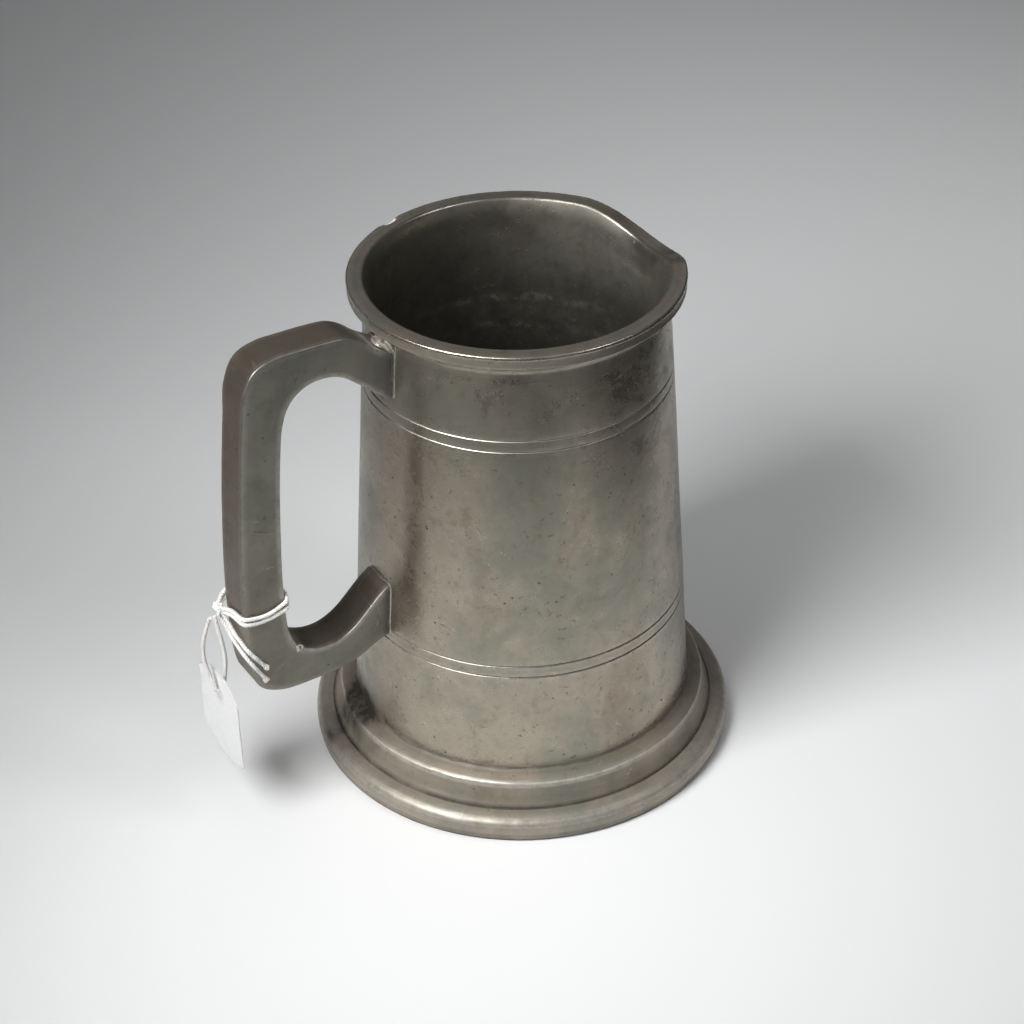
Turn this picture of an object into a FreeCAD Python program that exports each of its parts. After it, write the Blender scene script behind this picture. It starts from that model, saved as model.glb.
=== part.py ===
import FreeCAD, Part
import math
import os
from FreeCAD import Vector

# A lidless pewter pint tankard with a pouring lip, a slab handle and a tied-on card tag.
# Millimetres. The origin is the centre of the foot's standing circle and +Z is up.
# The handle is on -X, the pouring lip on +X, and the handle's side faces look along -Y and +Y.
UP = Vector(0, 0, 1)

# Drum: a straight taper, rolled outwards into a lip.
HEIGHT = 132.0
DRUM_RADIUS_AT_BASE = 44.4
DRUM_TAPER = 0.0623
WALL = 1.7
LIP_RADIUS = 40.33
LIP_EDGE_RADIUS = 0.8
LIP_BAND_RADIUS = 40.1
LIP_BOTTOM = 128.6
LIP_ROOT = 126.4
MOUTH_RADIUS = 36.4
LINE_HEIGHTS = (42.2, 45.3, 105.0, 107.9)
LINE_HALF_WIDTH = 0.3
LINE_DEPTH = 0.25

# Pouring lip: the rim dips and leans out over this half angle, fading out down the wall.
SPOUT_HALF_ANGLE = 33.0
SPOUT_DIP = 5.0
SPOUT_REACH = 1.3
SPOUT_BOTTOM = 112.0
SPOUT_FULL_HEIGHT = 127.0
SPOUT_SECTIONS = 13

# Foot: two soldered mouldings under the drum, with the bottom disc let in between them.
SEAM_HEIGHT = 6.9
DISC_THICKNESS = 2.2
DISC_CLEARANCE = 0.02
COLLAR_TOP = 14.9
COLLAR_LEDGE_END = (46.9, 13.35)
COLLAR_EDGE = (47.39, 12.8)
SEAM_RADIUS = 49.5
FOOT_RADIUS = 54.33
FOOT_WIDEST_HEIGHT = 3.5
STANDING_OUTER_RADIUS = 53.6
STANDING_INNER_RADIUS = 50.9
BASE_RING_BORE = 41.0

# Handle: a hollow slab casting with flat sides.
HANDLE_HALF_WIDTH = 5.1
HANDLE_WALL = 2.2
OUTER_EDGE_ROUNDING = 1.4
INNER_EDGE_ROUNDING = 0.6
UPPER_STANDOFF = 1.0
LOWER_STANDOFF = 0.35
UPPER_SOLDER = {"low": 111.4, "high": 125.6, "depth": 1.7, "spread": 0.6}
LOWER_SOLDER = {"low": 43.6, "high": 60.6, "depth": 0.8, "spread": 0.45}
VENT_RADIUS = 0.9
VENT_MOUTH = Vector(-66.0, -HANDLE_HALF_WIDTH, 50.3)
VENT_DIRECTION = Vector(0.35, -1.0, 0.6)

# String and tag, tied round the grip.
STRING_DIAMETER = 1.1
KNOT_CENTRE = Vector(-81.45, 5.2, 61.9)
KNOT_RADIUS = 1.7
HANG_X = -83.2
HANG_Y = 6.0
TAG_WIDTH = 21.2
TAG_TOP = 42.5
TAG_BOTTOM = 15.5
TAG_THICKNESS = 0.4
TAG_HOLE_RADIUS = 1.5
TAG_HOLE_HEIGHT = 36.0
BIGHT_HEIGHT = 36.85
TAG_CORNER = (6.5, 4.0)


def drum_radius(z, inset=0.0):
    """Outer radius of the drum's straight taper at height z, less an inset."""
    return DRUM_RADIUS_AT_BASE - DRUM_TAPER * z - inset


def lines(points):
    """Straight edges through (radius, height) points in the XZ plane."""
    corners = [Vector(r, 0, z) for r, z in points]
    return [Part.makeLine(a, b) for a, b in zip(corners, corners[1:])]


def arc(start, middle, end):
    """One arc edge through three (radius, height) points in the XZ plane."""
    return [Part.Arc(*[Vector(r, 0, z) for r, z in (start, middle, end)]).toShape()]


def smooth_curve(points):
    """A smooth curve through (radius, height) points in the XZ plane."""
    spline = Part.BSplineCurve()
    spline.interpolate([Vector(r, 0, z) for r, z in points])
    return spline


def shifted(points, distance):
    """The points of a smooth curve moved sideways by a distance, to the right of its direction."""
    spline = smooth_curve(points)
    moved = []
    for r, z in points:
        along = spline.tangent(spline.parameter(Vector(r, 0, z)))[0]
        moved.append((r + distance * along.z, z - distance * along.x))
    return moved


def outline_face(edges):
    """A flat face inside a closed run of edges."""
    return Part.Face(Part.Wire(edges))


def turned(edges):
    """The solid of revolution of an outline about Z."""
    return outline_face(edges).revolve(Vector(), UP, 360)


def turned_polygon(points):
    return turned(lines(points + points[:1]))


def drum_core(offset, low, high):
    """The solid cone inside the drum's outer surface moved out by offset, between two heights."""
    return Part.makeCone(
        drum_radius(low) + offset, drum_radius(high) + offset, high - low, Vector(0, 0, low), UP
    )


# ---- Drum


def incised(z):
    """The three outer points of one incised line."""
    return [
        (drum_radius(z - LINE_HALF_WIDTH), z - LINE_HALF_WIDTH),
        (drum_radius(z, LINE_DEPTH), z),
        (drum_radius(z + LINE_HALF_WIDTH), z + LINE_HALF_WIDTH),
    ]


def drum_outline():
    """The closed outline of the drum's wall and lip, away from the spout."""
    outer = [(drum_radius(SEAM_HEIGHT), SEAM_HEIGHT)]
    for z in LINE_HEIGHTS:
        outer += incised(z)
    outer += [(drum_radius(z), z) for z in (SPOUT_BOTTOM, 116.0, 120.0, 124.0, LIP_ROOT)]
    underside = [
        (37.3, 127.9),
        (39.4, LIP_BOTTOM),
        (LIP_RADIUS, 129.0),
        (LIP_BAND_RADIUS, 129.4),
        (LIP_BAND_RADIUS, 130.6),
    ]
    bead_centre = (LIP_RADIUS - LIP_EDGE_RADIUS, HEIGHT - LIP_EDGE_RADIUS)
    bead = [
        (
            bead_centre[0] + LIP_EDGE_RADIUS * math.cos(math.radians(a)),
            bead_centre[1] + LIP_EDGE_RADIUS * math.sin(math.radians(a)),
        )
        for a in (-15, 15, 45, 90)
    ]
    mouth = [
        (37.2, HEIGHT),
        (MOUTH_RADIUS, HEIGHT - 0.45),
        (35.75, 130.2),
        (35.2, 128.2),
        (34.95, 125.5),
    ]
    inner = [(drum_radius(z, WALL), z) for z in (120.0, 116.0, SPOUT_BOTTOM, SEAM_HEIGHT)]
    return outer + underside + bead + mouth + inner


def smooth(t):
    t = min(max(t, 0.0), 1.0)
    return t * t * (3 - 2 * t)


def spout_point(r, z, angle):
    """Where the pouring lip puts a point of the rim outline, at an angle from the spout's middle."""
    share = math.cos(math.radians(90 * angle / SPOUT_HALF_ANGLE)) ** 2
    rise = smooth((z - SPOUT_BOTTOM) / (SPOUT_FULL_HEIGHT - SPOUT_BOTTOM))
    r += SPOUT_REACH * share * rise
    z -= SPOUT_DIP * share * rise * rise
    turn = math.radians(angle)
    return Vector(r * math.cos(turn), r * math.sin(turn), z)


def drum_section(angle):
    corners = [spout_point(r, z, angle) for r, z in drum_outline()]
    return Part.makePolygon(corners + corners[:1])


def body_drum():
    """The drum: turned for most of the way round, and lofted through sections under the spout."""
    step = 2 * SPOUT_HALF_ANGLE / (SPOUT_SECTIONS - 1)
    angles = [-SPOUT_HALF_ANGLE + step * i for i in range(SPOUT_SECTIONS)]
    front = Part.makeLoft([drum_section(a) for a in angles], True, False)
    rest = Part.Face(drum_section(SPOUT_HALF_ANGLE)).revolve(
        Vector(), UP, 360 - 2 * SPOUT_HALF_ANGLE
    )
    return rest.fuse(front)


# ---- Bottom and foot


def disc_top():
    return SEAM_HEIGHT + DISC_THICKNESS


def bottom_disc():
    return turned_polygon(
        [
            (0, SEAM_HEIGHT),
            (drum_radius(SEAM_HEIGHT, WALL) - DISC_CLEARANCE, SEAM_HEIGHT),
            (drum_radius(disc_top(), WALL) - DISC_CLEARANCE, disc_top()),
            (0, disc_top()),
        ]
    )


def foot_collar():
    """The upper moulding: a sloping ledge with a crisp edge over a slightly hollow band."""
    band_top = (COLLAR_EDGE[0] + 0.05, COLLAR_EDGE[1] - 0.4)
    seam = (SEAM_RADIUS, SEAM_HEIGHT)
    wall_bottom = (drum_radius(SEAM_HEIGHT), SEAM_HEIGHT)
    wall_top = (drum_radius(COLLAR_TOP), COLLAR_TOP)
    edges = lines([wall_bottom, wall_top, COLLAR_LEDGE_END, COLLAR_EDGE, band_top])
    edges += arc(band_top, (48.0, 9.6), seam)
    edges += lines([seam, wall_bottom])
    return turned(edges)


def foot_base_ring():
    """The lower moulding: a narrow ledge, a rolled shoulder and a rounded band, hollow beneath."""
    bore_top = (BASE_RING_BORE, SEAM_HEIGHT)
    shoulder = (52.3, 6.35)
    widest = (FOOT_RADIUS, FOOT_WIDEST_HEIGHT)
    edges = lines([bore_top, (49.2, SEAM_HEIGHT), (49.5, 6.6), (49.9, 6.85), shoulder])
    edges += arc(shoulder, (53.55, 5.35), widest)
    edges += arc(widest, (54.28, 1.9), (53.95, 0.4))
    edges += lines([(53.95, 0.4), (STANDING_OUTER_RADIUS, 0), (STANDING_INNER_RADIUS, 0)])
    edges += arc((STANDING_INNER_RADIUS, 0), (49.9, 3.3), (47.0, 4.7))
    edges += lines([(47.0, 4.7), (BASE_RING_BORE, 4.9), bore_top])
    return turned(edges)


def inner_bottom_solder():
    """The fillet of solder that seals the bottom disc inside the drum."""
    leg = 1.3
    top = disc_top()
    wall_foot = (drum_radius(top, WALL), top)
    wall_top = (drum_radius(top + leg, WALL), top + leg)
    disc_end = (wall_foot[0] - leg, top)
    hollow = (wall_foot[0] - 0.42 * leg, top + 0.35 * leg)
    return turned(lines([disc_end, wall_foot, wall_top]) + arc(wall_top, hollow, disc_end))


def foot_collar_solder():
    """The small fillet between the drum and the collar's ledge."""
    corner = (drum_radius(COLLAR_TOP), COLLAR_TOP)
    share = 0.25
    on_ledge = tuple(c + share * (e - c) for c, e in zip(corner, COLLAR_LEDGE_END))
    return turned_polygon([corner, on_ledge, (drum_radius(COLLAR_TOP + 0.8), COLLAR_TOP + 0.8)])


def base_ring_solder():
    """The fillet under the bottom disc, against the base ring's bore."""
    leg = 1.1
    return turned_polygon(
        [
            (BASE_RING_BORE, SEAM_HEIGHT),
            (BASE_RING_BORE - leg, SEAM_HEIGHT),
            (BASE_RING_BORE, SEAM_HEIGHT - leg),
        ]
    )


# ---- Handle


OUTER_FACE = [
    (34.0, 121.3),
    (41.9, 126.7),
    (45.4, 129.5),
    (49.0, 131.2),
    (54.0, 131.7),
    (60.5, 131.85),
    (67.0, 131.7),
    (72.0, 129.7),
    (75.0, 124.0),
    (76.9, 108.0),
    (78.4, 92.0),
    (79.4, 75.0),
    (79.6, 62.0),
    (79.0, 49.0),
    (77.1, 42.6),
    (71.5, 39.4),
    (60.5, 38.9),
    (55.0, 39.2),
    (49.5, 40.6),
    (45.5, 42.6),
    (41.0, 44.7),
    (35.0, 47.6),
]

INNER_FACE = [
    (35.0, 63.0),
    (40.3, 58.9),
    (43.5, 56.7),
    (47.0, 53.5),
    (50.5, 50.3),
    (53.5, 48.5),
    (57.2, 47.5),
    (61.0, 48.0),
    (66.2, 50.9),
    (68.5, 57.0),
    (68.9, 66.0),
    (68.8, 75.2),
    (68.3, 90.4),
    (67.1, 104.9),
    (65.9, 113.5),
    (61.6, 120.8),
    (53.5, 122.6),
    (50.0, 121.2),
    (46.5, 118.6),
    (39.7, 112.7),
    (35.0, 109.5),
]


def handle_face(inset):
    """The handle's middle plane, inside its outline by an inset, running past the joints."""
    outer = shifted(OUTER_FACE, inset)
    inner = shifted(INNER_FACE, inset)
    edges = [smooth_curve(outer).toShape()]
    edges += lines([outer[-1], inner[0]])
    edges += [smooth_curve(inner).toShape()]
    edges += lines([inner[-1], outer[0]])
    return outline_face(edges)


def slab(face, half_width):
    """A flat face in the handle's middle plane, thickened to both sides."""
    placed = face.copy()
    placed.rotate(Vector(), UP, 180)
    placed.translate(Vector(0, -half_width, 0))
    return placed.extrude(Vector(0, 2 * half_width, 0))


def side_edges(solid, reaching):
    """The long edges of the flat sides that reach out past a given distance from the axis."""
    return [
        e
        for e in solid.Edges
        if e.BoundBox.YLength < 0.01 and e.Length > 60 and -e.BoundBox.XMin > reaching
    ]


def handle_blank():
    """The handle's outer shape, still running into the drum."""
    blank = slab(handle_face(0), HANDLE_HALF_WIDTH)
    rounded = blank.makeFillet(OUTER_EDGE_ROUNDING, side_edges(blank, 75))
    inner = [e for e in side_edges(rounded, 60) if e.BoundBox.XMin > -75]
    return rounded.makeFillet(INNER_EDGE_ROUNDING, inner)


def outside_drum(solid, upper_gap, lower_gap):
    """What is left of a handle solid outside the drum, with a gap at each joint."""
    solid = solid.cut(drum_core(lower_gap, 20, HEIGHT))
    return solid.cut(drum_core(upper_gap, 90, HEIGHT))


def handle_cavity():
    inside = slab(handle_face(HANDLE_WALL), HANDLE_HALF_WIDTH - HANDLE_WALL)
    return outside_drum(inside, UPPER_STANDOFF + HANDLE_WALL, LOWER_STANDOFF + HANDLE_WALL)


def vent_bore():
    """A drilled vent from the edge of the near side into the cavity."""
    direction = Vector(VENT_DIRECTION).normalize()
    start = VENT_MOUTH - direction * 4.5
    return Part.makeCylinder(VENT_RADIUS, 6.5, start, direction)


def handle_parts():
    """The casting and the plug that closes its vent."""
    shell = outside_drum(handle_blank(), UPPER_STANDOFF, LOWER_STANDOFF).cut(handle_cavity())
    plug = shell.common(vent_bore())
    return shell.cut(vent_bore()), plug


def joint_solder(joint, handle):
    """A collar of solder round one end of the handle, against the drum."""
    half_width = HANDLE_HALF_WIDTH + joint["spread"]
    block = Part.makeBox(
        20, 2 * half_width, joint["high"] - joint["low"], Vector(-55, -half_width, joint["low"])
    )
    layer = drum_core(joint["depth"], joint["low"], joint["high"])
    layer = layer.cut(drum_core(0, 20, HEIGHT))
    return block.common(layer).cut(handle)


# ---- String and tag


def tube(name, points):
    """A string along straight runs joined by tangent arcs, with its radii and volume printed."""
    runs = [(b - a).Length for a, b in zip(points, points[1:])]
    edges = []
    radii = []
    at = points[0]
    for i in range(1, len(points) - 1):
        before = (points[i] - points[i - 1]).normalize()
        after = (points[i + 1] - points[i]).normalize()
        half_turn = before.getAngle(after) / 2
        cut = 0.45 * min(runs[i - 1], runs[i])
        radii.append(cut / math.tan(half_turn))
        start = points[i] - before * cut
        end = points[i] + after * cut
        inward = (after - before).normalize()
        centre = points[i] + inward * (radii[-1] / math.cos(half_turn))
        middle = centre - inward * radii[-1]
        edges.append(Part.LineSegment(at, start).toShape())
        edges.append(Part.Arc(start, middle, end).toShape())
        at = end
    edges.append(Part.LineSegment(at, points[-1]).toShape())
    path = Part.Wire(edges)
    profile = Part.Wire(
        [Part.makeCircle(STRING_DIAMETER / 2, points[0], (points[1] - points[0]).normalize())]
    )
    solid = path.makePipeShell([profile], True, False)
    section = math.pi * STRING_DIAMETER**2 / 4
    print(
        f"{name}: length {path.Length:.1f} mm, smallest radius {min(radii):.2f} mm, "
        f"volume over section times length {solid.Volume / (section * path.Length):.4f}"
    )
    return solid


STRAND_A = [
    Vector(-81.1, 4.4, 62.3),
    Vector(-80.4, 2.0, 63.2),
    Vector(-80.35, -1.6, 64.2),
    Vector(-80.4, -4.4, 64.7),
    Vector(-78.85, -5.95, 64.5),
    Vector(-76.4, -5.85, 63.8),
    Vector(-73.4, -5.85, 63.8),
    Vector(-70.4, -5.85, 65.0),
    Vector(-68.8, -5.9, 65.8),
    Vector(-67.95, -4.35, 66.2),
    Vector(-68.0, -1.7, 66.4),
    Vector(-68.0, 1.7, 66.5),
    Vector(-68.1, 4.3, 66.5),
    Vector(-69.5, 5.75, 66.6),
    Vector(-72.4, 5.9, 66.8),
    Vector(-76.2, 5.9, 66.8),
    Vector(-79.2, 5.95, 66.2),
    Vector(-80.7, 5.95, 64.6),
    Vector(-81.35, 5.75, 62.3),
    Vector(-80.95, 4.6, 60.2),
    Vector(-80.4, 2.9, 58.3),
    Vector(-80.35, 0.2, 56.9),
    Vector(-80.25, -3.0, 56.3),
    Vector(-79.9, -5.2, 55.2),
    Vector(-78.4, -5.95, 53.0),
    Vector(-76.8, -5.85, 50.5),
    Vector(-75.3, -5.75, 48.4),
]

STRAND_B = [
    Vector(-81.2, 4.7, 61.1),
    Vector(-80.45, 2.0, 61.9),
    Vector(-80.35, -1.6, 62.8),
    Vector(-80.4, -4.4, 63.2),
    Vector(-78.9, -5.95, 62.9),
    Vector(-76.4, -5.85, 62.4),
    Vector(-73.4, -5.85, 62.5),
    Vector(-70.4, -5.85, 63.2),
    Vector(-68.8, -5.9, 63.8),
    Vector(-67.95, -4.35, 64.3),
    Vector(-68.0, -1.7, 64.8),
    Vector(-68.0, 1.7, 65.1),
    Vector(-68.1, 4.3, 65.2),
    Vector(-69.5, 5.75, 65.3),
    Vector(-72.4, 5.9, 65.5),
    Vector(-76.2, 5.9, 65.4),
    Vector(-79.0, 6.0, 64.5),
    Vector(-80.75, 6.05, 62.9),
    Vector(-81.6, 6.2, 60.9),
    Vector(-81.2, 5.5, 58.6),
    Vector(-80.5, 3.9, 56.4),
    Vector(-80.4, 1.5, 54.7),
    Vector(-80.3, -1.6, 53.8),
    Vector(-80.1, -4.6, 52.8),
    Vector(-78.9, -5.95, 50.6),
    Vector(-77.2, -5.95, 47.6),
    Vector(-75.8, -5.85, 44.9),
]

HANGER = [
    Vector(-83.8, 6.0, 59.5),
    Vector(-84.9, 6.9, 55.6),
    Vector(-85.7, 7.8, 51.2),
    Vector(-85.8, 7.9, 46.6),
    Vector(-85.2, 7.2, 42.4),
    Vector(-84.55, 6.3, 39.4),
    Vector(-84.35, HANG_Y, BIGHT_HEIGHT),
    Vector(-82.05, HANG_Y, BIGHT_HEIGHT),
    Vector(-81.9, 5.8, 39.4),
    Vector(-81.6, 5.1, 42.8),
    Vector(-81.4, 4.5, 47.2),
    Vector(-81.5, 4.4, 51.7),
    Vector(-82.0, 5.0, 55.8),
    Vector(-82.6, 6.0, 59.5),
]


def string_knot():
    return Part.makeSphere(KNOT_RADIUS, KNOT_CENTRE)


def tag_label():
    """A card tag in a plane across X, its corners cut, with one hole for the string."""
    half = TAG_WIDTH / 2
    across, down = TAG_CORNER
    corners = [
        (-half, TAG_BOTTOM + down),
        (-half + across, TAG_BOTTOM),
        (half - across, TAG_BOTTOM),
        (half, TAG_BOTTOM + down),
        (half, TAG_TOP - down),
        (half - across, TAG_TOP),
        (-half + across, TAG_TOP),
        (-half, TAG_TOP - down),
    ]
    back = HANG_X - TAG_THICKNESS / 2
    points = [Vector(back, HANG_Y + y, z) for y, z in corners]
    card = Part.Face(Part.makePolygon(points + points[:1])).extrude(Vector(TAG_THICKNESS, 0, 0))
    hole_start = Vector(HANG_X - 1, HANG_Y, TAG_HOLE_HEIGHT)
    hole = Part.makeCylinder(TAG_HOLE_RADIUS, 2, hole_start, Vector(1, 0, 0))
    return card.cut(hole)


def main():
    handle, plug = handle_parts()
    parts = {
        "body_drum": body_drum(),
        "bottom_disc": bottom_disc(),
        "foot_collar": foot_collar(),
        "foot_base_ring": foot_base_ring(),
        "inner_bottom_solder": inner_bottom_solder(),
        "foot_collar_solder": foot_collar_solder(),
        "base_ring_solder": base_ring_solder(),
        "handle_casting": handle,
        "handle_vent_plug": plug,
        "upper_handle_solder": joint_solder(UPPER_SOLDER, handle),
        "lower_handle_solder": joint_solder(LOWER_SOLDER, handle),
        "string_strand_a": tube("string_strand_a", STRAND_A),
        "string_strand_b": tube("string_strand_b", STRAND_B),
        "string_knot": string_knot(),
        "string_hanger": tube("string_hanger", HANGER),
        "tag_label": tag_label(),
    }
    os.makedirs("parts", exist_ok=True)
    for name, shape in parts.items():
        solids = shape.Solids
        print(f"{name}: {len(solids)} solid, valid {shape.isValid()}, {shape.Volume / 1000:.3f} cm3")
        (solids[0] if len(solids) == 1 else shape).exportStep(f"parts/{name}.step")


main()
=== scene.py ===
import math
import random

import bpy
from mathutils import Matrix, Vector, noise


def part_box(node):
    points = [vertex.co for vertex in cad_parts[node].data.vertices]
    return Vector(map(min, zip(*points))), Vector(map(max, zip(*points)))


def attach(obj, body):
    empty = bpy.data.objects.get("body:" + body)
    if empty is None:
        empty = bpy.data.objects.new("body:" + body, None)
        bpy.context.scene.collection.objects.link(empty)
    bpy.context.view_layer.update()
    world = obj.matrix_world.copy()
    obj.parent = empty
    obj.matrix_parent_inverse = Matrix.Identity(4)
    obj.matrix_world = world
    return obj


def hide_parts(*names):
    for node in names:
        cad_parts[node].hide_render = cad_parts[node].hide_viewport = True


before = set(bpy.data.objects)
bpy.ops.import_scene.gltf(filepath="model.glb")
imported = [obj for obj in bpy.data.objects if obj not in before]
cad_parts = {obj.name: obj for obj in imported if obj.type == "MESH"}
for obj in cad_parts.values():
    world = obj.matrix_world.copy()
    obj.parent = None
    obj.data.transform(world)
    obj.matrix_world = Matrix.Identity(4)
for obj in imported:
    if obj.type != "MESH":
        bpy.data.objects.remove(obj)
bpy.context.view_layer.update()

# A lidless pewter pint tankard with a string and a card tag tied to its handle. The handle is on
# -X, the pouring lip on +X. Profiles are given in millimetres and built in metres.
MM = 0.001
UP = Vector((0, 0, 1))
SEGMENTS = 320

# Drum, as in the design: a straight taper with a wall of even thickness.
DRUM_LOW, DRUM_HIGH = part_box("body_drum")
SEAM_HEIGHT = DRUM_LOW.z / MM
HEIGHT = DRUM_HIGH.z / MM
DRUM_RADIUS_AT_BASE = 44.4
DRUM_TAPER = 0.0623
WALL = 1.7
LINE_HEIGHTS = (42.2, 45.3, 105.0, 107.9)
SPOUT_HALF_ANGLE = 33.0
SPOUT_DIP = 5.0
SPOUT_REACH = 1.3
SPOUT_BOTTOM = 112.0
SPOUT_FULL_HEIGHT = 127.0
DISC_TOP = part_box("bottom_disc")[1].z / MM
COLLAR_TOP = 14.9

# Handle: flat sides with edges just broken, ends soldered to the drum.
HANDLE_HALF_WIDTH = 5.1
OUTER_EDGE_ROUNDING = 0.45
INNER_EDGE_ROUNDING = 0.3
UPPER_STANDOFF = 1.0
LOWER_STANDOFF = 0.35


def drum_radius(z, inset=0.0):
    """Outer radius of the drum at height z, less an inset, in millimetres."""
    return DRUM_RADIUS_AT_BASE - DRUM_TAPER * z - inset


def smooth(t):
    t = min(max(t, 0.0), 1.0)
    return t * t * (3 - 2 * t)


def bump_at(value, centre, half_width):
    """1 at the centre, falling smoothly to 0 at half_width away."""
    return smooth(1 - abs(value - centre) / half_width)


# ---- Camera and lights


def aim(obj, place, target, roll=0.0):
    """Stands an object at a place, looking along its own -Z at a target."""
    turn = (Vector(target) - Vector(place)).to_track_quat("-Z", "Y").to_matrix().to_4x4()
    obj.matrix_world = Matrix.Translation(place) @ turn @ Matrix.Rotation(roll, 4, "Z")


def camera():
    azimuth = math.radians(-31.4)
    elevation = math.radians(34.9)
    distance = 0.60806
    right = Vector((math.cos(azimuth), math.sin(azimuth), 0))
    back = Vector(
        (
            math.sin(azimuth) * math.cos(elevation),
            -math.cos(azimuth) * math.cos(elevation),
            math.sin(elevation),
        )
    )
    target = UP * 0.0622 - right * 0.00188
    data = bpy.data.cameras.new("camera")
    data.lens = 84.77
    data.sensor_width = 36
    data.clip_start = 0.01
    obj = bpy.data.objects.new("camera", data)
    bpy.context.collection.objects.link(obj)
    aim(obj, target + back * distance, target, roll=-0.0147)
    bpy.context.scene.camera = obj


def softbox(name, azimuth, elevation, distance, size, power, spread=180, target=(0, 0, 0.06)):
    """A square lamp, placed round the drum's middle, with a grid that narrows its beam."""
    a = math.radians(azimuth)
    e = math.radians(elevation)
    outward = Vector((math.cos(a) * math.cos(e), math.sin(a) * math.cos(e), math.sin(e)))
    data = bpy.data.lights.new(name, "AREA")
    data.shape = "SQUARE"
    data.size = size
    data.energy = power
    data.spread = math.radians(spread)
    obj = bpy.data.objects.new(name, data)
    bpy.context.collection.objects.link(obj)
    aim(obj, UP * 0.06 + outward * distance, target)


def studio():
    """Two gridded lamps that cast the two shadows, a weak front fill, and a pale wall and ceiling
    for the upward faces to reflect, in a dim grey room."""
    softbox("lamp_left", 198, 44, 0.42, 0.22, 0.76, spread=94, target=(0.147, -0.069, 0))
    softbox("lamp_right", -46, 53, 0.68, 0.26, 0.37, spread=73, target=(0.157, 0.399, 0))
    softbox("fill_front", -100, 34, 0.80, 0.80, 0.26, spread=140)
    softbox("wall_behind", 60, 34, 1.30, 1.00, 0.45)
    softbox("ceiling", 0, 88, 0.80, 0.50, 0.26)
    world = bpy.data.worlds.new("room")
    world.use_nodes = True
    background = world.node_tree.nodes["Background"]
    background.inputs["Color"].default_value = (0.93, 0.97, 1.0, 1)
    background.inputs["Strength"].default_value = 0.025
    bpy.context.scene.world = world
    bpy.context.scene.view_settings.view_transform = "Standard"


# ---- Materials


class Graph:
    """A node material under construction."""

    def __init__(self, name):
        self.material = bpy.data.materials.new(name)
        self.material.use_nodes = True
        self.tree = self.material.node_tree
        self.tree.nodes.clear()

    def add(self, kind, inputs=None, **settings):
        node = self.tree.nodes.new("ShaderNode" + kind)
        for key, value in settings.items():
            setattr(node, key, value)
        for key, value in (inputs or {}).items():
            self.feed(node.inputs[key], value)
        return node

    def feed(self, socket, value):
        if isinstance(value, bpy.types.NodeSocket):
            self.tree.links.new(value, socket)
        elif isinstance(value, (tuple, list)) and socket.type == "RGBA":
            socket.default_value = (*value[:3], 1)
        else:
            socket.default_value = value

    def place(self):
        return self.add("TexCoord").outputs["Object"]

    def attribute(self, name):
        return self.add("Attribute", attribute_name=name).outputs["Fac"]

    def moved(self, vector, scale=(1, 1, 1), location=(0, 0, 0), rotation=(0, 0, 0)):
        inputs = {"Vector": vector, "Scale": scale, "Location": location, "Rotation": rotation}
        return self.add("Mapping", inputs).outputs["Vector"]

    def noise(self, vector, scale, detail=4.0, rough=0.5, distortion=0.0):
        inputs = {
            "Vector": vector,
            "Scale": scale,
            "Detail": detail,
            "Roughness": rough,
            "Distortion": distortion,
        }
        return self.add("TexNoise", inputs).outputs["Fac"]

    def cells(self, vector, scale, dimensions="3D"):
        inputs = {"Vector": vector, "Scale": scale}
        return self.add("TexVoronoi", inputs, voronoi_dimensions=dimensions).outputs["Distance"]

    def warped(self, vector, scale, amount):
        """The vector pushed about by smooth noise, by up to about the amount."""
        push = self.add("TexNoise", {"Vector": vector, "Scale": scale, "Detail": 2.0}).outputs["Color"]
        centred = self.add("VectorMath", {0: push, 1: (0.5, 0.5, 0.5)}, operation="SUBTRACT")
        scaled = self.add("VectorMath", {0: centred.outputs[0], "Scale": amount}, operation="SCALE")
        return self.add("VectorMath", {0: vector, 1: scaled.outputs[0]}).outputs[0]

    def between(self, value, low, high, to_low=0.0, to_high=1.0):
        inputs = {"Value": value, "From Min": low, "From Max": high, "To Min": to_low, "To Max": to_high}
        return self.add("MapRange", inputs, interpolation_type="SMOOTHSTEP").outputs["Result"]

    def maths(self, operation, a, b=0.0, clamp=False):
        node = self.add("Math", operation=operation, use_clamp=clamp)
        self.feed(node.inputs[0], a)
        self.feed(node.inputs[1], b)
        return node.outputs[0]

    def times(self, *values):
        result = values[0]
        for value in values[1:]:
            result = self.maths("MULTIPLY", result, value)
        return result

    def plus(self, *values):
        result = values[0]
        for value in values[1:]:
            result = self.maths("ADD", result, value)
        return result

    def mix(self, a, b, share):
        node = self.add("Mix", data_type="RGBA")
        self.feed(node.inputs[0], share)
        self.feed(node.inputs[6], a)
        self.feed(node.inputs[7], b)
        return node.outputs[2]

    def bump(self, height, distance, strength=1.0, under=None):
        inputs = {"Height": height, "Distance": distance, "Strength": strength}
        if under is not None:
            inputs["Normal"] = under
        return self.add("Bump", inputs).outputs["Normal"]

    def finish(self, **inputs):
        named = {key.replace("_", " "): value for key, value in inputs.items()}
        shader = self.add("BsdfPrincipled", named)
        output = self.add("OutputMaterial", {"Surface": shader.outputs["BSDF"]})
        output.is_active_output = True
        return self.material


def clusters(g, vector, scale, low, high, seed):
    """Patches that are 1 where marks may lie and 0 elsewhere."""
    return g.between(g.noise(g.moved(vector, location=(seed, seed, 0)), scale, detail=3.0), low, high)


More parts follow.
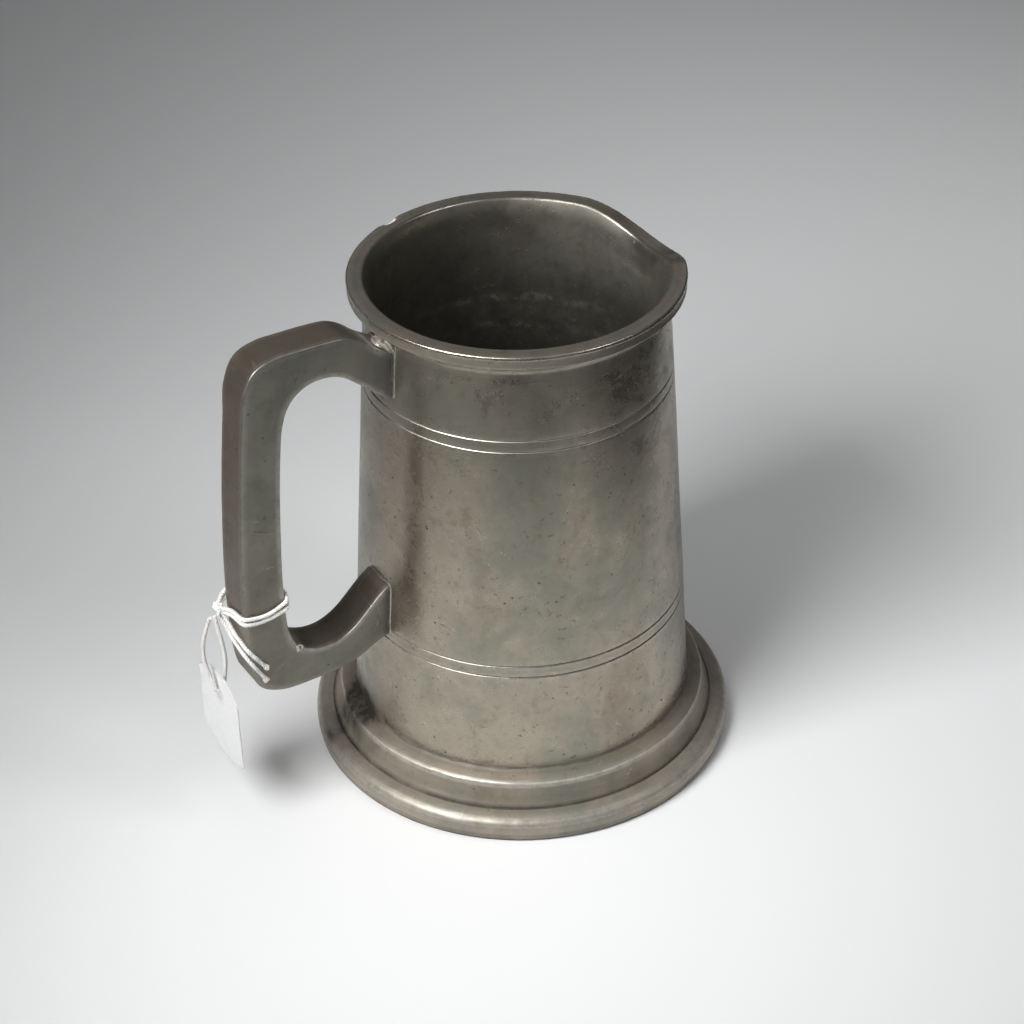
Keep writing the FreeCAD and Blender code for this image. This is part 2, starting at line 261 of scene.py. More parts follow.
def scratches(g, vector, direction, cover, seed):
    """Hair-thin broken lines lying mostly one way: stretched noise, cut to its ridges."""
    bent = g.moved(g.warped(vector, 130.0, 0.004), rotation=(0, 0, direction), location=(seed, 0, 0))
    streak = g.noise(g.moved(bent, scale=(60, 1300, 1)), 1.0, detail=1.0)
    ridge = g.between(g.maths("ABSOLUTE", g.maths("SUBTRACT", streak, 0.5)), 0.0, 0.010, 1.0, 0.0)
    return g.times(ridge, clusters(g, vector, 90.0, cover, cover + 0.08, seed))


def nicks(g, vector, direction, cell, reach, seed):
    """Ragged short strokes, at most one to each cell of the given length and width, in clusters."""
    bent = g.moved(g.warped(vector, 300.0, 0.0022), rotation=(0, 0, direction), location=(seed, 0, 0))
    stroke = g.cells(g.moved(bent, scale=(1 / cell[0], 1 / cell[1], 1)), 1.0, "2D")
    ragged = g.noise(vector, 1300.0, detail=2.0)
    stroke = g.plus(stroke, g.between(ragged, 0.3, 0.7, -0.05, 0.09))
    stroke = g.between(stroke, reach * 0.5, reach, 1.0, 0.0)
    return g.times(stroke, clusters(g, vector, 60.0, 0.52, 0.60, seed))


def tide_marks(g, place):
    """Two broken pale rings in a faint film, left by a drink inside the drum on its +Y side."""
    parts = g.add("SeparateXYZ", {0: g.warped(place, 45.0, 0.004)}).outputs
    facing = g.between(g.plus(g.times(parts["X"], 0.53), g.times(parts["Y"], 0.85)), 0.022, 0.037)
    broken = g.between(g.noise(place, 240.0, detail=6.0, rough=0.75), 0.40, 0.75)
    marks = 0.0
    for height, width, strength in ((0.1038, 0.0020, 0.6), (0.0955, 0.0018, 0.4), (0.0985, 0.013, 0.15)):
        off = g.maths("ABSOLUTE", g.maths("SUBTRACT", parts["Z"], height))
        marks = g.plus(marks, g.times(g.between(off, 0.0, width, 1.0, 0.0), strength))
    return g.times(marks, facing, broken)


def pewter(name, warm, cool, brown, roughness, metal=0.9, turned=True, inside=False, tarnish=None):
    """Old pewter: grey metal under a soft oxide skin that is warm in some patches and greenish in
    others, with brown stains, pits, nicks, scratches, bright worn edges, dirt in the corners, and
    painted shade where the mesh marks it.
    metal is how much of the skin still shines, and tarnish the browner colour of faces not towards Y."""
    g = Graph(name)
    place = g.place()
    flat = g.add("UVMap", uv_map="surface").outputs["UV"]
    wear = g.attribute("wear")
    grime_and_shade = g.attribute("grime_and_shade")

    pushed = g.warped(place, 70.0, 0.010)
    broad = g.noise(pushed, 42.0, detail=4.0, rough=0.6)
    blot = g.noise(pushed, 150.0, detail=6.0, rough=0.68)
    cloud = g.noise(place, 260.0, detail=6.0, rough=0.7)
    grain = g.noise(place, 1100.0, detail=3.0, rough=0.65)
    speck = g.noise(place, 420.0, detail=4.0, rough=0.7)
    drips = g.noise(g.moved(pushed, scale=(1, 1, 0.3)), 75.0, detail=4.0)

    colour = g.mix(cool, warm, g.between(broad, 0.37, 0.58))
    colour = g.mix(colour, brown, g.times(g.between(drips, 0.52, 0.70), 0.40))
    colour = g.mix(colour, brown, g.times(g.between(blot, 0.56, 0.72), 0.50))
    colour = g.mix(colour, cool, g.times(g.between(blot, 0.46, 0.30), 0.45))
    shade = g.plus(g.between(cloud, 0.3, 0.7, 0.92, 1.08), g.between(grain, 0.3, 0.7, -0.04, 0.04))
    colour = g.mix((0, 0, 0), colour, shade)
    if tarnish is not None:
        normal_parts = g.add("SeparateXYZ", {0: g.add("TexCoord").outputs["Normal"]}).outputs
        handled = g.between(g.maths("ABSOLUTE", normal_parts["Y"]), 0.75, 0.35)
        colour = g.mix(colour, tarnish, g.times(handled, g.between(cloud, 0.25, 0.6, 0.95, 0.65)))

    pits = g.between(g.cells(g.moved(place, location=(0.3, 0.1, 0)), 360.0), 0.06, 0.18, 1.0, 0.0)
    pits = g.times(pits, g.between(speck, 0.50, 0.58))
    fine_pits = g.between(g.cells(place, 950.0), 0.08, 0.22, 1.0, 0.0)
    fine_pits = g.times(fine_pits, g.between(g.noise(place, 130.0, detail=3.0), 0.50, 0.60))
    strokes = g.plus(
        nicks(g, flat, 0.25, (0.016, 0.0030), 0.10, 2.7),
        nicks(g, flat, -0.5, (0.012, 0.0034), 0.09, 5.3),
        nicks(g, flat, 1.2, (0.014, 0.0032), 0.09, 8.9),
        nicks(g, flat, 1.9, (0.010, 0.0030), 0.08, 3.1),
    )
    strokes = g.maths("MINIMUM", strokes, 1.0)
    marks = g.plus(
        scratches(g, flat, 1.45, 0.58, 1.3),
        scratches(g, flat, 0.15, 0.60, 7.9),
        scratches(g, flat, -0.7, 0.61, 4.1),
        scratches(g, flat, 0.8, 0.62, 6.6),
    )
    marks = g.maths("MINIMUM", marks, 1.0)
    bright_nicks = nicks(g, flat, 0.7, (0.020, 0.006), 0.05, 9.7)

    edge = g.times(wear, g.between(speck, 0.3, 0.6, 0.45, 1.0))
    # The grime mark darkens real dirt and painted shade alike: under the lip, at the foot's floor edge, inside by
    # the spout and behind the handle's foot.
    dirt_and_shade = g.times(grime_and_shade, g.between(cloud, 0.3, 0.6, 0.6, 1.0))
    colour = g.mix(colour, (0.07, 0.062, 0.048), g.times(pits, 0.85))
    colour = g.mix(colour, (0.10, 0.09, 0.07), g.times(fine_pits, 0.4))
    colour = g.mix(colour, (0.11, 0.10, 0.075), g.times(strokes, 0.42))
    colour = g.mix(colour, (0.55, 0.54, 0.50), g.times(marks, 0.22))
    colour = g.mix(colour, (0.70, 0.68, 0.63), g.times(bright_nicks, 0.3 if turned else 0.12))
    colour = g.mix(colour, (0.68, 0.65, 0.60), g.times(edge, 0.75))
    colour = g.mix(colour, (0.040, 0.034, 0.026), g.times(dirt_and_shade, 0.85))
    # Wear above 1 paints a near-white, non-metallic chip: bare metal of a nick and a painted glint.
    chip_and_glint = g.between(wear, 1.0, 1.5)
    colour = g.mix(colour, (0.85, 0.84, 0.81), chip_and_glint)

    rough = g.between(broad, 0.3, 0.7, roughness + 0.04, roughness - 0.04)
    rough = g.plus(rough, g.between(blot, 0.3, 0.7, -0.05, 0.07), g.times(dirt_and_shade, 0.3), g.times(strokes, 0.15))
    rough = g.maths("SUBTRACT", rough, g.times(edge, 0.08), clamp=True)

    normal = g.bump(g.noise(place, 45.0, detail=2.0), 0.0006, 0.28)
    normal = g.bump(blot, 0.00006, 0.4, normal)
    normal = g.bump(grain, 0.00001, 0.5, normal)
    if turned:
        lathe = g.noise(g.moved(flat, scale=(4, 2600, 1)), 1.0, detail=2.0)
        normal = g.bump(lathe, 0.000003, 0.5, normal)
    depth = g.plus(pits, g.times(fine_pits, 0.2), g.times(strokes, 0.6), g.times(marks, 0.2))
    normal = g.bump(g.maths("SUBTRACT", 1.0, depth), 0.00007, 0.6, normal)

    metallic = g.maths("SUBTRACT", metal, g.plus(g.times(dirt_and_shade, 0.6), g.times(pits, 0.4), chip_and_glint), clamp=True)
    if inside:
        chalk = tide_marks(g, place)
        colour = g.mix(colour, (0.52, 0.50, 0.44), g.times(chalk, 0.14))
        metallic = g.times(metallic, g.maths("SUBTRACT", 1.0, g.times(chalk, 0.5)))
    return g.finish(Base_Color=colour, Metallic=metallic, Roughness=rough, Normal=normal)


def cotton():
    g = Graph("cotton")
    place = g.place()
    fuzz = g.noise(place, 5200.0, detail=4.0, rough=0.7)
    soil = g.noise(place, 240.0, detail=3.0)
    colour = g.mix((0.80, 0.78, 0.74), (0.93, 0.92, 0.90), g.between(fuzz, 0.3, 0.7))
    colour = g.mix(colour, (0.62, 0.58, 0.50), g.times(g.between(soil, 0.55, 0.8), 0.35))
    normal = g.bump(fuzz, 0.00006, 0.6)
    return g.finish(
        Base_Color=colour, Roughness=0.9, Sheen_Weight=0.35, Sheen_Roughness=0.5,
        Subsurface_Weight=0.15, Subsurface_Scale=0.0006, Normal=normal,
    )


def card():
    g = Graph("card")
    place = g.place()
    fibre = g.noise(g.moved(place, scale=(1, 1, 0.5)), 2600.0, detail=5.0, rough=0.7)
    fleck = g.noise(place, 900.0, detail=2.0)
    handled = g.noise(place, 95.0, detail=3.0)
    colour = g.mix((0.80, 0.80, 0.81), (0.90, 0.90, 0.90), g.between(fibre, 0.3, 0.7))
    colour = g.mix(colour, (0.70, 0.67, 0.60), g.times(g.between(fleck, 0.66, 0.72), 0.4))
    colour = g.mix(colour, (0.66, 0.64, 0.60), g.times(g.between(handled, 0.55, 0.8), 0.35))
    colour = g.mix(colour, (0.55, 0.52, 0.46), g.times(g.attribute("grime_and_shade"), 0.5))
    normal = g.bump(fibre, 0.00003, 0.5)
    return g.finish(Base_Color=colour, Roughness=0.7, Specular_IOR_Level=0.35, Normal=normal)


def paper_floor():
    g = Graph("floor_paper")
    place = g.place()
    tone = g.between(g.noise(place, 3.0, detail=3.0), 0.3, 0.7, 0.0, 0.03)
    colour = g.mix((0.90, 0.91, 0.915), (0.86, 0.87, 0.88), tone)
    return g.finish(Base_Color=colour, Roughness=0.75, Specular_IOR_Level=0.3)


# ---- Mesh helpers


def mesh_object(name, points, faces, materials, marks=None, uv=None, face_material=None):
    """A smooth-shaded object with sharp edges where the surface turns by more than 40 degrees.
    marks maps an attribute's name to one value per point; uv is one pair per face corner."""
    mesh = bpy.data.meshes.new(name)
    mesh.from_pydata([tuple(p) for p in points], [], faces)
    for material in materials:
        mesh.materials.append(material)
    for mark, values in (marks or {}).items():
        mesh.attributes.new(mark, "FLOAT", "POINT").data.foreach_set("value", values)
    if uv is not None:
        layer = mesh.uv_layers.new(name="surface")
        layer.data.foreach_set("uv", [c for pair in uv for c in pair])
    if face_material is not None:
        mesh.polygons.foreach_set("material_index", face_material)
    mesh.shade_smooth()
    mesh.set_sharp_from_angle(angle=math.radians(40))
    mesh.validate()
    obj = bpy.data.objects.new(name, mesh)
    bpy.context.collection.objects.link(obj)
    return obj


def finish_piece(obj, body, slot, *nodes):
    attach(obj, body)
    if nodes:
        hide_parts(*nodes)
    return obj


def soften(corners, spacing):
    """A closed outline with each corner (x, y, rounding, wear, grime and painted shade) rounded
    off, and long runs divided to about the spacing. Gives a list of (x, y, wear, grime and painted shade)."""
    result = []
    count = len(corners)

    def put(point, wear, grime_and_shade):
        result.append((point.x, point.y, wear, grime_and_shade))

    starts = []
    ends = []
    for i, (x, y, rounding, wear, grime_and_shade) in enumerate(corners):
        here = Vector((x, y))
        before = Vector(corners[i - 1][:2]) - here
        after = Vector(corners[(i + 1) % count][:2]) - here
        cut_in = min(rounding, 0.49 * before.length)
        cut_out = min(rounding, 0.49 * after.length)
        starts.append(here + before.normalized() * cut_in)
        ends.append(here + after.normalized() * cut_out)
    for i, (x, y, rounding, wear, grime_and_shade) in enumerate(corners):
        here = Vector((x, y))
        if rounding > 0:
            steps = 6
            for k in range(steps + 1):
                t = k / steps
                curve = starts[i] * (1 - t) ** 2 + here * 2 * t * (1 - t) + ends[i] * t**2
                put(curve, wear, grime_and_shade)
        else:
            put(here, wear, grime_and_shade)
        following = (i + 1) % count
        run = starts[following] - ends[i]
        divisions = max(1, math.ceil(run.length / spacing))
        next_wear, next_grime_and_shade = corners[following][3:]
        for k in range(1, divisions):
            t = k / divisions
            reach = run.length * min(t, 1 - t)
            fade = max(0.0, 1 - reach / 1.2)
            near_wear, near_grime_and_shade = (wear, grime_and_shade) if t < 0.5 else (next_wear, next_grime_and_shade)
            put(ends[i] + run * t, near_wear * fade, near_grime_and_shade * fade)
    return result


def turned_piece(name, outline, materials, place, inner_from=None):
    """A turned solid from a closed outline of (radius, height, wear, grime and painted shade) in millimetres.
    place(radius, height, angle) gives each point; points from inner_from on take material 1."""
    count = len(outline)
    points = []
    wear = []
    grime_and_shade = []
    for i in range(SEGMENTS):
        angle = 2 * math.pi * i / SEGMENTS
        for r, z, point_wear, point_grime_and_shade in outline:
            points.append(place(r, z, angle) * MM)
            wear.append(point_wear)
            grime_and_shade.append(point_grime_and_shade)
    along = [0.0]
    for (r0, z0, *_), (r1, z1, *_) in zip(outline, outline[1:] + outline[:1]):
        along.append(along[-1] + math.hypot(r1 - r0, z1 - z0) * MM)
    girth = 2 * math.pi * 0.044
    faces = []
    uv = []
    side = []
    for i in range(SEGMENTS):
        following = (i + 1) % SEGMENTS
        u0 = girth * i / SEGMENTS
        u1 = girth * (i + 1) / SEGMENTS
        for k in range(count):
            after = (k + 1) % count
            faces.append((i * count + k, following * count + k, following * count + after, i * count + after))
            uv += [(u0, along[k]), (u1, along[k]), (u1, along[k + 1]), (u0, along[k + 1])]
            side.append(int(inner_from is not None and k >= inner_from))
    marks = {"wear": wear, "grime_and_shade": grime_and_shade}
    return mesh_object(name, points, faces, materials, marks, uv, side)


def on_circle(r, z, angle):
    return Vector((r * math.cos(angle), r * math.sin(angle), z))


def ripple(point, size, seed):
    """Smooth noise about zero for a point in millimetres, with features of the given size."""
    return noise.noise(Vector(point) / size + Vector((seed, 2 * seed, 3 * seed)))


# ---- Drum


def painted_handle_shade(obj, height, half_height, strength):
    """Painted shade: black about a height on the camera side of the handle's foot, where its shadow falls."""
    grime_and_shade = obj.data.attributes["grime_and_shade"].data
    for index, vertex in enumerate(obj.data.vertices):
        x, y, z = vertex.co / MM
        off = (math.degrees(math.atan2(y, x)) - 170 + 180) % 360 - 180
        ragged = 1 + 0.5 * ripple((x, y, z), 3.5, 53)
        here = bump_at(off, 0, 16) * bump_at(z, height, half_height) * ragged
        grime_and_shade[index].value = min(1.3, grime_and_shade[index].value + strength * here)


def drum_outline():
    """Round the wall and lip: outside going up, over the lip, and down the inside."""
    outer = [(drum_radius(SEAM_HEIGHT), SEAM_HEIGHT, 0, 0, 0)]
    for z in LINE_HEIGHTS:
        outer += [
            (drum_radius(z - 0.26), z - 0.26, 0.08, 0.25, 0.0),
            (drum_radius(z, 0.22), z, 0.05, 0.0, 1.0),
            (drum_radius(z + 0.26), z + 0.26, 0.08, 0.15, 0.0),
        ]
    outer += [
        (drum_radius(SPOUT_BOTTOM), SPOUT_BOTTOM, 0, 0, 0),
        # Grime under the lip and on its lower band is painted shade where the overhanging lip shadows the wall.
        (drum_radius(126.2), 126.2, 1.2, 0, 0.15),
        (38.9, 128.45, 0.35, 0, 0.9),
        (40.28, 128.75, 0.18, 0.9, 0),
        (40.12, 129.35, 0.15, 0.1, 0.55),
        (40.08, 130.75, 0.1, 0, 0.25),
        (40.33, 131.05, 0.12, 0.35, 0),
        (40.3, 131.95, 0.75, 0.3, 0),
        (36.3, 131.95, 0.7, 0.12, 0),
    ]
    inner = [
        (35.35, 128.6, 2.0, 0, 0),
        (drum_radius(121.0, WALL), 121.0, 2.5, 0, 0),
        (drum_radius(SPOUT_BOTTOM, WALL), SPOUT_BOTTOM, 0, 0, 0),
        (drum_radius(DISC_TOP, WALL), DISC_TOP, 0, 0, 0.6),
        (drum_radius(SEAM_HEIGHT, WALL), SEAM_HEIGHT, 0, 0, 0),
    ]
    return outer + inner, len(outer)


def drum_point(r, z, angle):
    """The drum with its pouring lip, a slightly uneven rim, and the faint waves of old metal."""
    off_spout = (math.degrees(angle) + 180) % 360 - 180
    share = 0.0
    if abs(off_spout) < SPOUT_HALF_ANGLE:
        share = math.cos(math.radians(90 * off_spout / SPOUT_HALF_ANGLE)) ** 2
    rise = smooth((z - SPOUT_BOTTOM) / (SPOUT_FULL_HEIGHT - SPOUT_BOTTOM))
    r += SPOUT_REACH * share * rise
    z -= SPOUT_DIP * share * rise * rise
    here = on_circle(r, z, angle)
    free = smooth((z - 20) / 15)
    r += 0.16 * ripple(here, 34, 3) * free + 0.035 * ripple(here, 9, 5) * free
    lip = smooth((z - 126) / 4)
    r += 0.05 * ripple(here, 3.2, 7) * lip
    nick = bump_at((math.degrees(angle) - 109.5 + 180) % 360 - 180, 0, 5.5)
    rim_edge = nick * smooth((z - 129.8) / 1.5) * smooth((r - 38.4) / 1.4)
    r -= 0.45 * rim_edge
    z -= 0.35 * rim_edge + 0.05 * abs(ripple(here, 2.6, 9)) * lip
    return on_circle(r, z, angle)


def body_drum(materials):
    corners, outer_count = drum_outline()
    outline = soften(corners, 1.6)
    top = max(range(len(outline)), key=lambda k: (outline[k][1], -outline[k][0]))
    obj = turned_piece("drum", outline, materials, drum_point, inner_from=top)
    mesh = obj.data
    wear = mesh.attributes["wear"].data
    grime_and_shade = mesh.attributes["grime_and_shade"].data
    for index, vertex in enumerate(mesh.vertices):
        x, y, z = vertex.co / MM
        angle = math.degrees(math.atan2(y, x))
        # The rim's nick gets wear up to 2 and is painted near-white: bare metal and a painted glint.
        nick = bump_at(angle, 109.5, 5.5) * smooth((z - 129.5) / 1.0) * smooth((math.hypot(x, y) - 38.2) / 1.0)
        wear[index].value = min(2.0, wear[index].value + 2.0 * nick)
        # Painted shade on the inside below the lip round the spout, darkening a lamp highlight there.
        within = smooth((36.9 - math.hypot(x, y)) / 0.6) if z > 100 else 0.0
        grime_and_shade[index].value += 0.45 * within * bump_at(angle, 24, 66) * smooth((z - 106) / 14)
    # Painted shade of the handle's foot on the drum's base.
    painted_handle_shade(obj, 15.0, 6.0, 2.4)
    return finish_piece(obj, "tankard", "pewter_body", "body_drum")


# ---- Bottom and foot


def bottom_disc(material):
    edge = drum_radius(DISC_TOP, WALL)
    corners = [
        (0.02, SEAM_HEIGHT, 0, 0, 0),
        (edge, SEAM_HEIGHT, 0, 0, 0.3),
        (edge, DISC_TOP, 0, 0, 0.6),
        (30.0, DISC_TOP - 0.1, 2.0, 0, 0.1),
        (0.02, DISC_TOP - 0.25, 0, 0, 0),
    ]
    obj = turned_piece("bottom", soften(corners, 1.5), [material], on_circle)
    return finish_piece(obj, "tankard", "pewter_body", "bottom_disc")


def foot_point(r, z, angle):
    """The cast foot: a little uneven, with small nicks on its edges."""
    here = on_circle(r, z, angle)
    free = smooth((r - 44.6) / 1.5) * smooth(z / 1.5)
    r += free * (0.06 * ripple(here, 22, 11) + 0.05 * ripple(here, 2.4, 13))
    ledge = bump_at(z, 12.8, 0.8) * smooth((r - 46) / 1)
    shoulder = bump_at(z, 5.6, 1.3) * smooth((r - 52) / 1)
    dent = max(0.0, ripple(here, 3.0, 17) - 0.25) + 0.6 * max(0.0, ripple(here, 1.3, 19) - 0.3)
    r -= dent * (0.45 * ledge + 0.4 * shoulder)
    return on_circle(r, z, angle)


def foot_collar(material):
    corners = [
        (drum_radius(SEAM_HEIGHT), SEAM_HEIGHT, 0, 0, 0),
        (drum_radius(COLLAR_TOP), COLLAR_TOP, 0, 0, 0.8),
        (44.3, 14.35, 0.4, 0, 0.45),
        (46.75, 13.45, 0.4, 0.15, 0),
        (47.37, 12.95, 0.15, 1.0, 0),
        (47.42, 12.35, 0.25, 0.6, 0.15),
        (47.75, 10.6, 1.2, 0, 0),
        (48.35, 8.7, 1.2, 0, 0.1),
        (49.45, SEAM_HEIGHT + 0.03, 0.05, 0, 1.0),
    ]
    obj = turned_piece("foot_upper_moulding", soften(corners, 1.2), [material], foot_point)
    # Painted shade of the handle's foot on the ledge and on the band below it.
    painted_handle_shade(obj, 14.4, 2.6, 2.4)
    painted_handle_shade(obj, 10.5, 5.0, 1.3)
    return finish_piece(obj, "tankard", "pewter_foot", "foot_collar")


def foot_base_ring(material):
    corners = [
        (41.0, SEAM_HEIGHT, 0, 0, 0.4),
        (49.2, SEAM_HEIGHT - 0.02, 0, 0, 1.0),
        (49.6, 6.55, 0.1, 0, 1.0),
        (50.1, 6.85, 0.2, 0.2, 0.25),
        (52.5, 6.35, 0.9, 0.25, 0),
        (53.95, 5.15, 0.9, 0.45, 0),
        (54.4, 3.4, 1.0, 0.15, 0),
        # Grime at the ring's bottom edge is a painted contact shadow where the ring meets the floor.
        (54.25, 1.3, 0.8, 0.0, 0.2),
        (53.95, 0.4, 0.3, 0.0, 1.0),
        (53.6, 0.0, 0.35, 0.0, 0.9),
        (50.9, 0.0, 0.3, 0.2, 0.3),
        (49.9, 3.3, 1.2, 0, 0.2),
        (47.0, 4.7, 0.8, 0, 0.2),
        (41.0, 4.9, 0.2, 0, 0.4),
    ]
    obj = turned_piece("foot_lower_moulding", soften(corners, 1.2), [material], foot_point)
    # Painted shade of the handle's foot on the lower moulding.
    painted_handle_shade(obj, 6.0, 3.4, 0.9)
    return finish_piece(obj, "tankard", "pewter_foot", "foot_base_ring")


def ring_bead(name, node, corners, seed, material):
    """A thin uneven ring of solder."""

    def uneven(r, z, angle):
        here = on_circle(r, z, angle)
        return on_circle(r + 0.10 * ripple(here, 4, seed), z + 0.08 * ripple(here, 3, seed + 1), angle)

    obj = turned_piece(name, soften(corners, 0.5), [material], uneven)
    # Painted shade of the handle's foot on the bead.
    painted_handle_shade(obj, COLLAR_TOP, 1.8, 2.0)
    return finish_piece(obj, "tankard", "solder", node)


def ring_solders(material):
    top = DISC_TOP
    wall = drum_radius(top, WALL)
    ring_bead(
        "inner_bottom_fillet", "inner_bottom_solder",
        [(wall - 1.3, top - 0.08, 0, 0, 0.4), (wall - 0.1, top - 0.08, 0, 0, 0),
         (wall - 0.1, top + 1.2, 0, 0, 0.4), (wall - 0.5, top + 0.35, 0.5, 0, 0.2)],
        23, material,
    )
    wall = drum_radius(COLLAR_TOP)
    ring_bead(
        "foot_fillet", "foot_collar_solder",
        [(wall - 0.15, COLLAR_TOP - 0.3, 0, 0, 0), (wall + 0.6, COLLAR_TOP - 0.45, 0.1, 0, 0.9),
         (wall + 0.15, COLLAR_TOP - 0.05, 0.2, 0, 0.9), (wall - 0.1, COLLAR_TOP + 0.6, 0.1, 0, 0.5)],
        29, material,
    )
    ring_bead(
        "under_bottom_fillet", "base_ring_solder",
        [(41.1, SEAM_HEIGHT + 0.05, 0, 0, 0), (39.9, SEAM_HEIGHT + 0.05, 0, 0, 0.3),
         (40.65, SEAM_HEIGHT - 0.35, 0.3, 0, 0.2), (41.1, SEAM_HEIGHT - 1.1, 0, 0, 0.3)],
        31, material,
    )


# ---- Handle

# Matching points down the outer and the inner face, each as (reach from the axis, height).
HANDLE_STATIONS = [
    ((37.75, 124.0), (38.5, 111.7)),
    ((41.9, 126.7), (42.6, 115.2)),
    ((45.4, 129.5), (46.5, 118.6)),
    ((49.0, 131.2), (50.0, 121.3)),
    ((54.0, 131.7), (53.5, 122.5)),
    ((60.5, 131.85), (58.0, 122.4)),
    ((67.0, 131.7), (61.6, 120.8)),
    ((72.1, 129.7), (64.2, 118.0)),
    ((75.0, 124.0), (65.9, 113.5)),
    ((76.1, 115.5), (66.7, 108.5)),
    ((77.3, 104.0), (67.4, 101.5)),
    ((78.4, 92.0), (68.2, 90.8)),
    ((79.4, 75.0), (68.8, 75.2)),
    ((79.6, 62.0), (68.9, 65.0)),
    ((79.0, 49.0), (68.3, 56.0)),
    ((77.1, 42.6), (66.2, 50.9)),
    ((71.5, 39.4), (61.4, 48.0)),
    ((60.5, 38.9), (57.2, 47.5)),
    ((55.0, 39.2), (53.5, 48.5)),
    ((49.5, 40.6), (50.5, 50.3)),
    ((45.5, 42.6), (47.0, 53.5)),
    ((42.05, 44.2), (43.7, 56.6)),
    ((41.95, 44.3), (41.05, 58.5)),
]
STEPS_PER_STATION = 9


def spline_through(points, t):
    """A point on a Catmull-Rom curve with centripetal spacing, t counted in points."""
    last = len(points) - 1
    k = min(int(t), last - 1)
    p1, p2 = points[k], points[k + 1]
    p0 = points[k - 1] if k > 0 else p1 * 2 - p2
    p3 = points[k + 2] if k + 2 <= last else p2 * 2 - p1
    knots = [0.0]
    for a, b in ((p0, p1), (p1, p2), (p2, p3)):
        knots.append(knots[-1] + max(1e-6, (b - a).length ** 0.5))
    at = knots[1] + (t - k) * (knots[2] - knots[1])

    def between(a, b, low, high):
        return a * ((high - at) / (high - low)) + b * ((at - low) / (high - low))

    a1 = between(p0, p1, knots[0], knots[1])
    a2 = between(p1, p2, knots[1], knots[2])
    a3 = between(p2, p3, knots[2], knots[3])
    b1 = between(a1, a2, knots[0], knots[2])
    b2 = between(a2, a3, knots[1], knots[3])
    return between(b1, b2, knots[1], knots[2])


def handle_section(width):
    """Round the handle: (distance in from the outer face, Y, wear) with rounded corners."""
    half = HANDLE_HALF_WIDTH
    corners = [
        (0, -half, OUTER_EDGE_ROUNDING, 0.2, 0),
        (0, half, OUTER_EDGE_ROUNDING, 0.2, 0),
        (width, half, INNER_EDGE_ROUNDING, 0.4, 0),
        (width, -half, INNER_EDGE_ROUNDING, 0.4, 0),
    ]
    return [(u, y, wear) for u, y, wear, _ in soften(corners, 100)]


def divided(section, pieces):
    """The section's points with each long straight run cut into equal pieces."""
    result = []
    for a, b in zip(section, section[1:] + section[:1]):
        result.append(a)
        if math.hypot(b[0] - a[0], b[1] - a[1]) > 2.0:
            for k in range(1, pieces):
                t = k / pieces
                result.append((a[0] + (b[0] - a[0]) * t, a[1] + (b[1] - a[1]) * t, 0.0))
    return result


def off_drum(reach, y, z, gap):
    """The reach at which a point at (y, z) stands a gap off the drum."""
    return math.sqrt((drum_radius(z) + gap) ** 2 - y * y)


def handle(material):
    outer = [Vector(pair[0]) for pair in HANDLE_STATIONS]
    inner = [Vector(pair[1]) for pair in HANDLE_STATIONS]
    count = (len(outer) - 1) * STEPS_PER_STATION + 1
    points = []
    wear = []
    grime_and_shade = []
    section_size = 0
    for i in range(count):
        t = i / STEPS_PER_STATION
        o = spline_through(outer, t)
        n = spline_through(inner, t)
        width = (n - o).length
        section = divided(handle_section(width), 7)
        section_size = len(section)
        end = i in (0, count - 1)
        gap = UPPER_STANDOFF if i < count / 2 else LOWER_STANDOFF
        for u, y, point_wear in section:
            reach, z = o + (n - o) * (u / width)
            here = Vector((-reach, y, z))
            soft = 0.09 * ripple(here, 16, 37) + 0.03 * ripple(here, 5, 39)
            y += math.copysign(abs(soft), y) * -0.6 if abs(y) > 4.5 else 0
            reach += soft
            limit = off_drum(reach, y, z, gap)
            reach = limit if end else max(reach, limit)
            points.append(Vector((-reach, y, z)) * MM)
            wiped = bump_at(reach - limit, 3.6, 4.4) * smooth(1 - u / 1.2) if z > 120 else 0.0
            wear.append(max(point_wear, 1.2 * wiped))
            grime_and_shade.append(0.9 * bump_at(reach - limit, 0, 2.2) * (1 - wiped))
    faces = []
    uv = []
    length = 0.0
    for i in range(count - 1):
        step = (spline_through(outer, (i + 1) / STEPS_PER_STATION) - spline_through(outer, i / STEPS_PER_STATION))
        following = length + step.length * MM
        for k in range(section_size):
            after = (k + 1) % section_size
            a = i * section_size
            b = a + section_size
            faces.append((a + k, b + k, b + after, a + after))
            v0 = 0.034 * k / section_size
            v1 = 0.034 * (k + 1) / section_size
            uv += [(length, v0), (following, v0), (following, v1), (length, v1)]
        length = following
    faces.append(tuple(range(section_size)))
    faces.append(tuple((count - 1) * section_size + k for k in reversed(range(section_size))))
    uv += [(0.0, 0.0)] * (2 * section_size)
    marks = {"wear": wear, "grime_and_shade": grime_and_shade}
    obj = mesh_object("handle", points, faces, [material], marks, uv)
    return finish_piece(obj, "tankard", "pewter_handle", "handle_casting")


